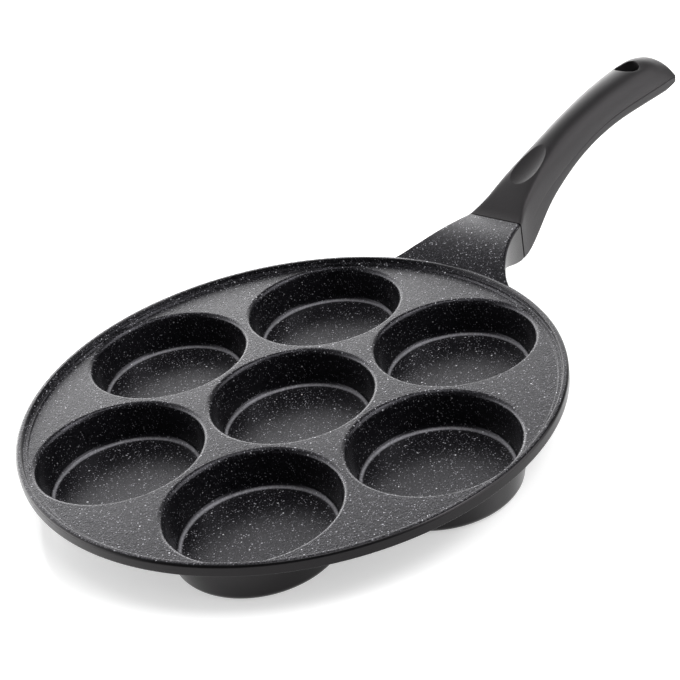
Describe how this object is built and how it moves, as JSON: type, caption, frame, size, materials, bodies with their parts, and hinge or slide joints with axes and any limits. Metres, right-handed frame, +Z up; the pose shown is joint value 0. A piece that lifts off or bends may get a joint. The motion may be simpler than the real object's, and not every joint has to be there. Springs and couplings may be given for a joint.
{
  "type": "egg pan",
  "caption": "Round cast egg pan with flat-bottomed cups let into its plate, a low raised rim, a flared lug and an upswept moulded handle with a thumb dimple and hang hole.",
  "frame": {"origin": "middle of the centre cup's underside, in the plane that all the cups stand on", "axes": "+Z up out of the cups, +X from the pan's middle out along the handle, +Y to the left of the handle"},
  "size_m": [0.4693, 0.26, 0.0673],
  "materials": {
    "pan_coating": "speckled stone-look non-stick coating on die-cast aluminium, plain black outside",
    "grip": "matt moulded phenolic",
    "fastener_steel": "zinc-plated steel"
  },
  "bodies": {
    "root": {"pan_body": "pan_coating", "handle_grip": "grip", "handle_screw": "fastener_steel", "flat_washer": "fastener_steel", "spring_washer": "fastener_steel"}
  },
  "joints": []
}
